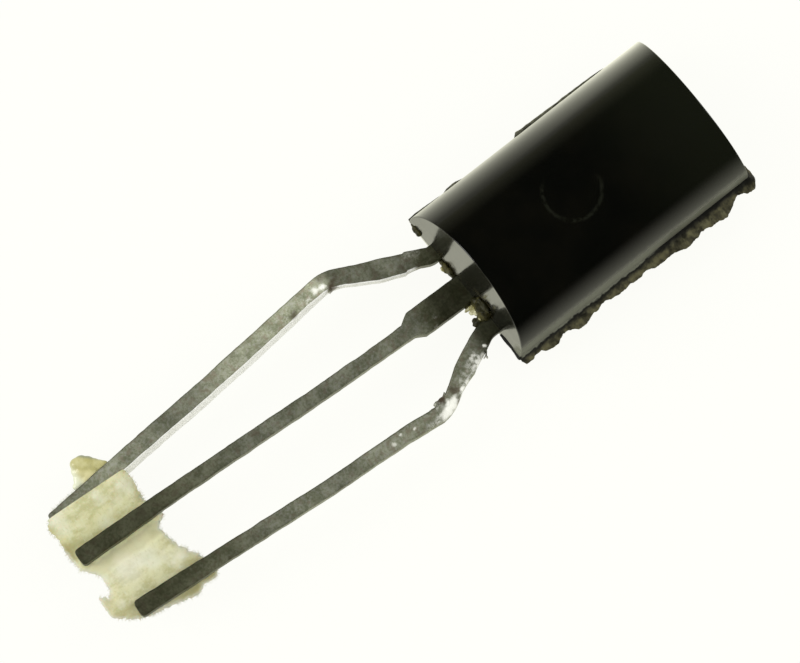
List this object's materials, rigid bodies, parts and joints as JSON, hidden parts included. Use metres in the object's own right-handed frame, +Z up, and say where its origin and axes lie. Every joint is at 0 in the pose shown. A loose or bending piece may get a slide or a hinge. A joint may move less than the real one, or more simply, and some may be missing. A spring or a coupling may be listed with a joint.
{
  "type": "to-92 transistor",
  "caption": "Long-body through-hole transistor: D-section black epoxy moulding with mould flash, formed tinned leads and a torn scrap of paper supply tape.",
  "frame": {"origin": "middle of the moulding's flat front, which the part lies on", "axes": "+Y runs along the moulding, away from the leads; +X runs across the leads towards the emitter's side; +Z points up from the flat front to the curved back"},
  "size_m": [0.0061, 0.0216, 0.0039],
  "materials": {
    "epoxy": "glossy black filled epoxy, with rough olive-brown flash at the parting line",
    "tinned_lead": "dull, mottled tin plating with burnished edges",
    "silicon": "polished silicon",
    "solder": "dull lead-tin solder",
    "gold": "drawn gold wire",
    "paper": "soft, fibrous cream paper",
    "glue": "dried, cloudy yellowish glue"
  },
  "bodies": {
    "root": {"epoxy_body": "epoxy", "collector_lead": "tinned_lead", "emitter_lead": "tinned_lead", "base_lead": "tinned_lead", "silicon_die": "silicon", "die_solder": "solder", "emitter_bond_wire": "gold", "base_bond_wire": "gold", "tape_paper": "paper", "tape_glue": "glue"}
  },
  "joints": []
}
